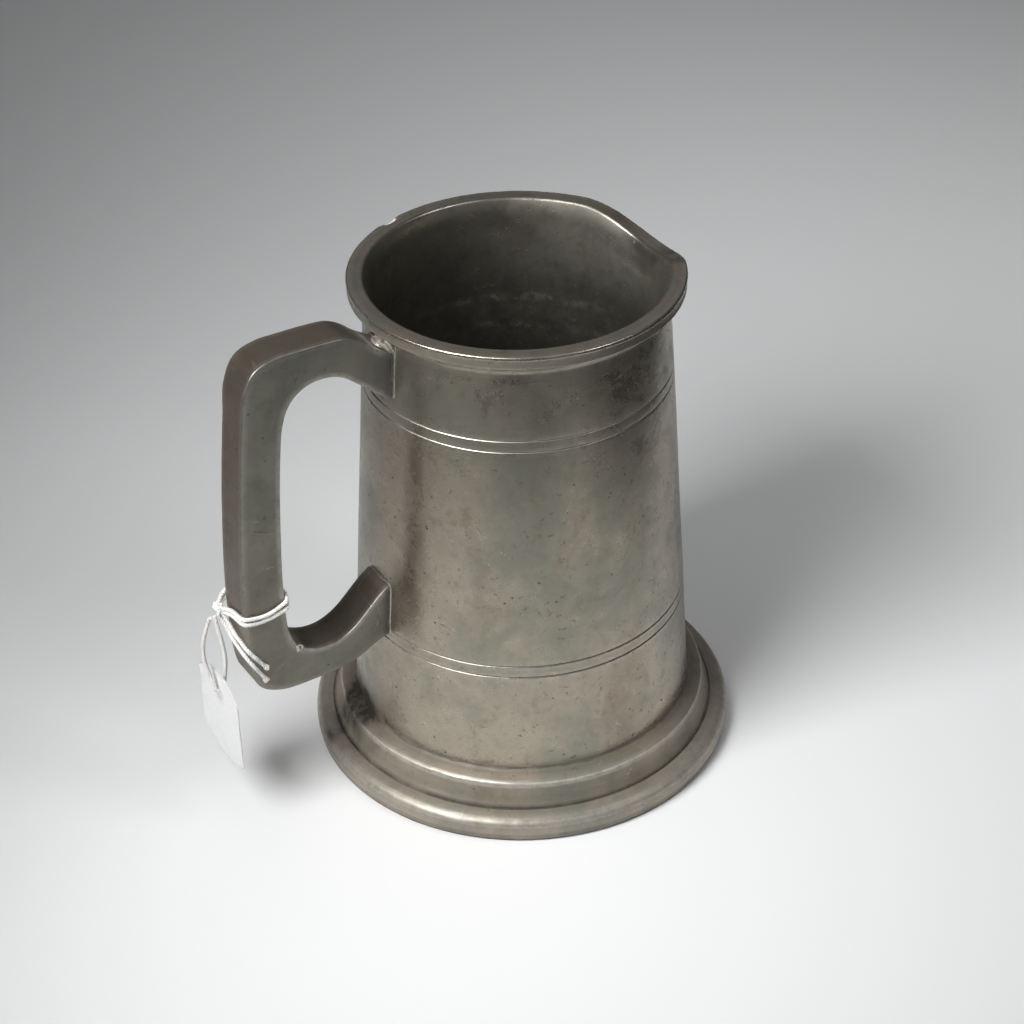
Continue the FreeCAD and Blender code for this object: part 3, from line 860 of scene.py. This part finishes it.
def joint_bead(name, node, end, materials):
    """A closed, uneven ring of solder round one end of the handle, filling its gap off the drum
    and leaning with the handle as it leaves the drum. A rough bright lump may stand on its top
    edge, which takes the second material."""
    half = HANDLE_HALF_WIDTH
    low, high = end["low"], end["high"]
    corners = [
        (-half, low, 0.7, 0, 0),
        (half, low, 0.7, 0, 0),
        (half, high, 1.5, 0, 0),
        (-half, high, 1.5, 0, 0),
    ]
    loop = [Vector(pair[:2]) for pair in soften(corners, 0.22)]
    section_steps = 10
    section_size = section_steps + 3
    points = []
    wear = []
    grime_and_shade = []
    bright = []
    for i, here in enumerate(loop):
        tangent = (loop[(i + 1) % len(loop)] - loop[i - 1]).normalized()
        outward = Vector((tangent.y, -tangent.x))
        place = Vector((here.x, here.y, end["seed"]))
        lump = end["lump"] * bump_at(here.x, -2.6, 5.6) * smooth((here.y - high + 1.2) / 1.2)
        spread = end["spread"] * (1 + 0.6 * ripple(place, 1.7, 3)) + 0.8 * lump
        tall = end["tall"] * (1 + 0.4 * ripple(place, 2.3, 5)) + lump
        section = [(-0.7, -0.15, 0.0), (spread, -0.15, 0.0)]
        for k in range(section_steps):
            t = k / (section_steps - 1)
            dirt_and_shade = 1.3 * bump_at(t, 0.65, 0.6)
            section.append((spread * (1 - t) ** 1.5 + 0.06 + 0.3 * lump * bump_at(t, 0.5, 0.5), tall * t, dirt_and_shade))
        section.append((-0.7, tall, 0.6))
        for out, off, dirt_and_shade in section:
            spot = place + Vector((out, out, off))
            rough = smooth(lump) * (0.9 * ripple(spot, 1.5, 7) + 0.8 * ripple(spot, 0.6, 9))
            out = out + rough if out > 0 else out
            y = here.x + outward.x * out
            z = here.y + outward.y * out + end["lean"] * off
            x = -math.sqrt((drum_radius(z) + off + 0.5 * rough) ** 2 - y * y)
            points.append(Vector((x, y, z)) * MM)
            thin_edge = 0.8 * bump_at(off, 0.05, 0.3) if out > 0 else 0.0
            wear.append(max(thin_edge, 0.8 * smooth(lump) * (0.5 + ripple(spot, 0.9, 13))))
            grime_and_shade.append(max(0.0, dirt_and_shade * (1 - 0.75 * smooth(lump)) - 0.6 * ripple(spot, 1.2, 15)))
        bright.append(int(lump > 0.25))
    faces = []
    face_material = []
    for i in range(len(loop)):
        following = (i + 1) % len(loop)
        for k in range(section_size):
            after = (k + 1) % section_size
            a = i * section_size
            b = following * section_size
            faces.append((a + k, b + k, b + after, a + after))
            face_material.append(bright[i])
    marks = {"wear": wear, "grime_and_shade": grime_and_shade}
    obj = mesh_object(name, points, faces, materials, marks, face_material=face_material)
    return finish_piece(obj, "tankard", "solder", node)


UPPER_END = {"low": 111.75, "high": 124.0, "lean": 0.72, "spread": 0.35, "tall": 1.05, "seed": 11, "lump": 2.8}
LOWER_END = {"low": 44.3, "high": 58.5, "lean": -0.62, "spread": 0.35, "tall": 0.6, "seed": 47, "lump": 0.0}


def vent_plug(material):
    """The rough blob that closes the casting's vent, with a small pit in its middle."""
    centre = Vector((-66.0, -5.15, 50.2))
    outward = Vector((0.35, -1.0, 0.6)).normalized()
    side = outward.orthogonal().normalized()
    across = outward.cross(side)
    rings = 9
    around = 28
    radius = 1.2
    points = [(centre + outward * 0.1) * MM]
    wear = [0.0]
    grime_and_shade = [1.0]
    for k in range(1, rings + 1):
        t = k / rings
        for i in range(around):
            angle = 2 * math.pi * i / around
            flat = side * math.cos(angle) + across * math.sin(angle)
            bulge = 1 + 0.55 * ripple(centre + flat * 1.3, 1.1, 61)
            height = 0.55 * (1 - t**3) * bulge - 0.5 * bump_at(t, 0, 0.4)
            points.append((centre + flat * radius * t * bulge + outward * (height - 0.1)) * MM)
            wear.append(1.0 * bump_at(t, 0.5, 0.4))
            grime_and_shade.append(bump_at(t, 0, 0.45) + 0.5 * smooth((t - 0.7) / 0.3))
    points.append((centre - outward * 0.9) * MM)
    wear.append(0.0)
    grime_and_shade.append(0.0)
    faces = []
    for i in range(around):
        following = (i + 1) % around
        faces.append((0, 1 + i, 1 + following))
        for k in range(rings - 1):
            a = 1 + k * around
            b = a + around
            faces.append((a + i, b + i, b + following, a + following))
        last = 1 + (rings - 1) * around
        faces.append((last + following, last + i, len(points) - 1))
    obj = mesh_object("vent_plug", points, faces, [material], {"wear": wear, "grime_and_shade": grime_and_shade})
    return finish_piece(obj, "tankard", "solder", "handle_vent_plug")


# ---- String and tag

# Routes in metres, from the knot outwards. The strands go once round the handle and end in a cut
# end; the hanger goes down from the knot, through the tag's hole, and back up to the knot.
ROUTE_A = [
    (-0.0811, 0.0044, 0.0623), (-0.0804, 0.0020, 0.0632), (-0.08035, -0.0016, 0.0642),
    (-0.08045, -0.0050, 0.0647), (-0.0794, -0.00595, 0.0645), (-0.0764, -0.00585, 0.0638),
    (-0.0734, -0.00585, 0.0638), (-0.0704, -0.00585, 0.0650), (-0.0688, -0.0059, 0.0658),
    (-0.06795, -0.00435, 0.0662), (-0.0680, -0.0017, 0.0664), (-0.0680, 0.0017, 0.0665),
    (-0.0681, 0.0050, 0.0665), (-0.0691, 0.0059, 0.0666), (-0.0724, 0.0059, 0.0668),
    (-0.0762, 0.0059, 0.0668), (-0.0792, 0.00595, 0.0662), (-0.0807, 0.00595, 0.0646),
    (-0.08135, 0.00575, 0.0623), (-0.08095, 0.0046, 0.0602), (-0.0804, 0.0029, 0.0583),
    (-0.08035, 0.0002, 0.0569), (-0.08025, -0.0030, 0.0563), (-0.0799, -0.0052, 0.0552),
    (-0.0784, -0.00595, 0.0530), (-0.0768, -0.00585, 0.0505), (-0.0753, -0.00575, 0.0484),
]
ROUTE_B = [
    (-0.0812, 0.0047, 0.0611), (-0.08045, 0.0020, 0.0619), (-0.08035, -0.0016, 0.0628),
    (-0.08045, -0.0050, 0.0632), (-0.0794, -0.00595, 0.0629), (-0.0764, -0.00585, 0.0624),
    (-0.0734, -0.00585, 0.0625), (-0.0704, -0.00585, 0.0632), (-0.0688, -0.0059, 0.0638),
    (-0.06795, -0.00435, 0.0643), (-0.0680, -0.0017, 0.0648), (-0.0680, 0.0017, 0.0651),
    (-0.0681, 0.0050, 0.0652), (-0.0691, 0.0059, 0.0653), (-0.0724, 0.0059, 0.0655),
    (-0.0762, 0.0059, 0.0654), (-0.0790, 0.0060, 0.0645), (-0.08075, 0.00605, 0.0629),
    (-0.0816, 0.0062, 0.0609), (-0.0812, 0.0055, 0.0586), (-0.0805, 0.0039, 0.0564),
    (-0.0804, 0.0015, 0.0547), (-0.0803, -0.0016, 0.0538), (-0.0801, -0.0046, 0.0528),
    (-0.0790, -0.0061, 0.0506), (-0.0772, -0.00595, 0.0476), (-0.0758, -0.00585, 0.0449),
]
ROUTE_HANGER = [
    (-0.0838, 0.0060, 0.0595), (-0.0849, 0.0069, 0.0556), (-0.0857, 0.0078, 0.0512),
    (-0.0858, 0.0079, 0.0466), (-0.0852, 0.0072, 0.0424), (-0.08455, 0.0063, 0.0394),
    (-0.08435, 0.0060, 0.03685), (-0.08205, 0.0060, 0.03685), (-0.0819, 0.0058, 0.0394),
    (-0.0816, 0.0051, 0.0428), (-0.0815, 0.0046, 0.0472), (-0.0818, 0.0047, 0.0517),
    (-0.0824, 0.0053, 0.0558), (-0.0826, 0.0060, 0.0595),
]
LENGTH_A = 0.0699
LENGTH_B = 0.0716
PLY_OFFSET = 0.24 * MM
PLY_RADIUS = 0.31 * MM
TWIST_PITCH = 2.3 * MM
FLARE_LENGTH = 1.5 * MM


def smooth_line(route):
    """Points along the smooth curve that has the route's points as its control points."""
    curve = bpy.data.curves.new("line", "CURVE")
    curve.dimensions = "3D"
    curve.resolution_u = 12
    spline = curve.splines.new("NURBS")
    spline.points.add(len(route) - 1)
    for point, place in zip(spline.points, route):
        point.co = (*place, 1)
    spline.order_u = 3
    spline.use_endpoint_u = True
    carrier = bpy.data.objects.new("line", curve)
    mesh = bpy.data.meshes.new_from_object(carrier)
    points = [vertex.co.copy() for vertex in mesh.vertices]
    bpy.data.objects.remove(carrier)
    bpy.data.meshes.remove(mesh)
    bpy.data.curves.remove(curve)
    return points


def square_to(line):
    """Two directions square to the line at each of its points, turning no more than it does."""
    side = (line[1] - line[0]).orthogonal().normalized()
    result = []
    for before, after in zip(line[:1] + line[:-1], line[1:] + line[-1:]):
        along = (after - before).normalized()
        side = (side - along * side.dot(along)).normalized()
        result.append((side, along.cross(side), along))
    return result


def fibre(points, faces, root, lean, bend, length):
    """A stray cotton fibre: a thin three-sided spike with one bend."""
    thick = 0.016 * MM
    side = lean.orthogonal().normalized()
    across = lean.cross(side).normalized()
    middle = root + lean * length * 0.5
    tip = middle + (lean + bend).normalized() * length * 0.5
    first = len(points)
    for centre, size in ((root, thick), (middle, thick * 0.8)):
        for k in range(3):
            angle = 2 * math.pi * k / 3
            points.append(centre + (side * math.cos(angle) + across * math.sin(angle)) * size)
    points.append(tip)
    for k in range(3):
        after = (k + 1) % 3
        faces.append((first + k, first + after, first + 3 + after, first + 3 + k))
        faces.append((first + 3 + k, first + 3 + after, first + 6))


def twisted_string(name, line, material, cut_end, seed, soil=0.0, scale=1.0):
    """Three twisted plies along a line as one closed tube, with stray fibres. A cut end spreads."""
    random.seed(seed)
    around = 24
    lengths = [(b - a).length for a, b in zip(line, line[1:])]
    total = sum(lengths)
    directions = square_to(line)
    points = []
    faces = []
    run = 0.0
    for i, centre in enumerate(line):
        side, up, along = directions[i]
        turn = 2 * math.pi * run / TWIST_PITCH
        flare = smooth(1 - (total - run) / FLARE_LENGTH) if cut_end else 0.0
        soft = 1 + 0.10 * noise.noise(centre * 900 + Vector((seed, 0, 0)))
        for k in range(around):
            angle = 2 * math.pi * k / around
            within = angle % (2 * math.pi / 3) - math.pi / 3
            r = PLY_OFFSET * math.cos(within)
            r += math.sqrt(PLY_RADIUS**2 - (PLY_OFFSET * math.sin(within)) ** 2)
            r *= scale * soft * (1 + 0.55 * flare)
            out = side * math.cos(angle + turn) + up * math.sin(angle + turn)
            uneven = along * flare * 0.16 * MM * noise.noise(out * 3 + Vector((seed, 1, 2)))
            points.append(centre + out * r + uneven)
        if i < len(line) - 1:
            a = i * around
            for k in range(around):
                after = (k + 1) % around
                faces.append((a + k, a + after, a + around + after, a + around + k))
            run += lengths[i]
    faces.append(tuple(reversed(range(around))))
    faces.append(tuple((len(line) - 1) * around + k for k in range(around)))
    for _ in range(int(total / (0.09 * MM))):
        i = random.randrange(1, len(line) - 1)
        side, up, along = directions[i]
        angle = random.uniform(0, 2 * math.pi)
        out = side * math.cos(angle) + up * math.sin(angle)
        lean = (out * random.uniform(0.25, 0.8) + along * random.uniform(-1, 1)).normalized()
        bend = Vector([random.uniform(-0.9, 0.9) for _ in range(3)])
        root = line[i] + out * 0.40 * MM * scale
        fibre(points, faces, root, lean, bend, random.uniform(0.3, 0.9) * MM)
    if cut_end:
        side, up, along = directions[-1]
        for _ in range(90):
            angle = random.uniform(0, 2 * math.pi)
            reach = random.uniform(0, 0.7) * MM
            out = side * math.cos(angle) + up * math.sin(angle)
            lean = (along + out * random.uniform(0, 0.75)).normalized()
            bend = Vector([random.uniform(-0.35, 0.35) for _ in range(3)])
            fibre(points, faces, line[-1] + out * reach, lean, bend, random.uniform(0.15, 0.6) * MM)
    return mesh_object(name, points, faces, [material], {"grime_and_shade": [soil] * len(points)})


def knot(material):
    """The tight overhand knot that both strands and the hanger leave."""
    centre = Vector((-0.08145, 0.0052, 0.0619))
    size = 0.52 * MM
    steps = 150
    line = []
    for i in range(steps):
        t = 2 * math.pi * i / steps
        x = math.sin(t) + 2 * math.sin(2 * t)
        y = math.cos(t) - 2 * math.cos(2 * t)
        z = -1.3 * math.sin(3 * t)
        line.append(centre + Vector((z, x, y)) * size)
    obj = twisted_string("string_knot_lump", line, material, False, 5, scale=0.95)
    return finish_piece(obj, "tankard", "cotton_string", "string_knot")


def strings(material):
    lump = knot(material)
    for name, node, route, length, seed in (
        ("string_upper_turn", "string_strand_a", ROUTE_A, LENGTH_A, 1),
        ("string_lower_turn", "string_strand_b", ROUTE_B, LENGTH_B, 2),
    ):
        line = smooth_line(route)
        obj = twisted_string(name, line, material, True, seed)
        finish_piece(obj, "tankard", "cotton_string", node)
    line = smooth_line(ROUTE_HANGER)
    obj = twisted_string("tag_string", line, material, False, 3, soil=0.35)
    finish_piece(obj, "hanger", "cotton_string", "string_hanger")


def tag(material):
    """A blank card with cut corners and a round hole, a little curled."""
    low, high = (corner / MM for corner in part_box("tag_label"))
    middle = (low.x + high.x) / 2
    thick = high.x - low.x
    hole = Vector((6.0, 36.0))
    hole_radius = 1.5
    cut_across = 6.5
    cut_down = 4.0
    corners = []
    for end, inward in ((low.z, 1), (high.z, -1)):
        pair = [
            (low.y, end + inward * cut_down, 0.3, 0, 0.3),
            (low.y + cut_across, end, 0.3, 0, 0.3),
            (high.y - cut_across, end, 0.3, 0, 0.3),
            (high.y, end + inward * cut_down, 0.3, 0, 0.3),
        ]
        corners += pair if inward > 0 else pair[::-1]
    outline = [Vector(point[:2]) for point in soften(corners, 0.9)]
    steps = 16
    points = []
    grime_and_shade = []
    for face in (-0.42, 0.42):
        for edge in outline:
            start = hole + (edge - hole).normalized() * hole_radius
            for k in range(steps):
                t = k / (steps - 1)
                y, z = start + (edge - start) * t
                curl = 0.25 * ((y - 6) / 10.6) ** 2 - 0.45 * smooth((24 - z) / 9) ** 2
                curl += 0.08 * ripple((0, y, z), 6, 71)
                points.append(Vector((middle - curl + face * thick, y, z)) * MM)
                grime_and_shade.append(max(0.8 * smooth(1 - t * 9), 0.6 * smooth((t - 0.93) / 0.07)))
    side = len(outline) * steps
    faces = []
    for i in range(len(outline)):
        a = i * steps
        b = (i + 1) % len(outline) * steps
        for k in range(steps - 1):
            faces.append((a + k, a + k + 1, b + k + 1, b + k))
            faces.append((side + a + k, side + b + k, side + b + k + 1, side + a + k + 1))
        last = steps - 1
        faces.append((a, b, side + b, side + a))
        faces.append((a + last, side + a + last, side + b + last, b + last))
    obj = mesh_object("tag_card", points, faces, [material], {"grime_and_shade": grime_and_shade})
    return finish_piece(obj, "tag", "card", "tag_label")


# ---- Build

camera()
studio()

PEWTER = pewter("pewter", (0.375, 0.33, 0.265), (0.285, 0.275, 0.225), (0.215, 0.17, 0.12), 0.29)
# The inside is a darker copy of the pewter: painted shade of the deep inside, with real tide marks.
PEWTER_INSIDE_SHADED = pewter(
    "pewter_inside_shaded", (0.26, 0.245, 0.205), (0.205, 0.20, 0.17), (0.185, 0.155, 0.115), 0.34, inside=True
)
PEWTER_FOOT = pewter(
    "pewter_foot", (0.30, 0.26, 0.205), (0.215, 0.205, 0.165), (0.18, 0.14, 0.10), 0.46, metal=0.5
)
PEWTER_HANDLE = pewter(
    "pewter_handle", (0.190, 0.182, 0.150), (0.150, 0.152, 0.125), (0.130, 0.110, 0.085), 0.36,
    metal=0.75, turned=False, tarnish=(0.165, 0.128, 0.098),
)
SOLDER = pewter("solder", (0.50, 0.47, 0.42), (0.38, 0.36, 0.32), (0.31, 0.25, 0.19), 0.55, turned=False)

body_drum([PEWTER, PEWTER_INSIDE_SHADED])
bottom_disc(PEWTER_INSIDE_SHADED)
foot_collar(PEWTER_FOOT)
foot_base_ring(PEWTER_FOOT)
ring_solders(PEWTER_FOOT)
handle(PEWTER_HANDLE)
joint_bead("upper_joint_solder", "upper_handle_solder", UPPER_END, [PEWTER_HANDLE, SOLDER])
joint_bead("lower_joint_solder", "lower_handle_solder", LOWER_END, [PEWTER_HANDLE, SOLDER])
vent_plug(SOLDER)
strings(cotton())
tag(card())


def floor():
    """A long sheet of white paper that ends just outside the picture in front and to the right."""
    towards_camera = Vector((-0.521, -0.853, 0))
    across = Vector((0.853, -0.521, 0))
    corners = ((0.22, -0.5), (0.22, 0.16), (-1.6, 0.42), (-1.6, -0.9))
    points = [towards_camera * reach + across * side for reach, side in corners]
    mesh_object("floor", points, [(0, 1, 2, 3)], [paper_floor()])


floor()
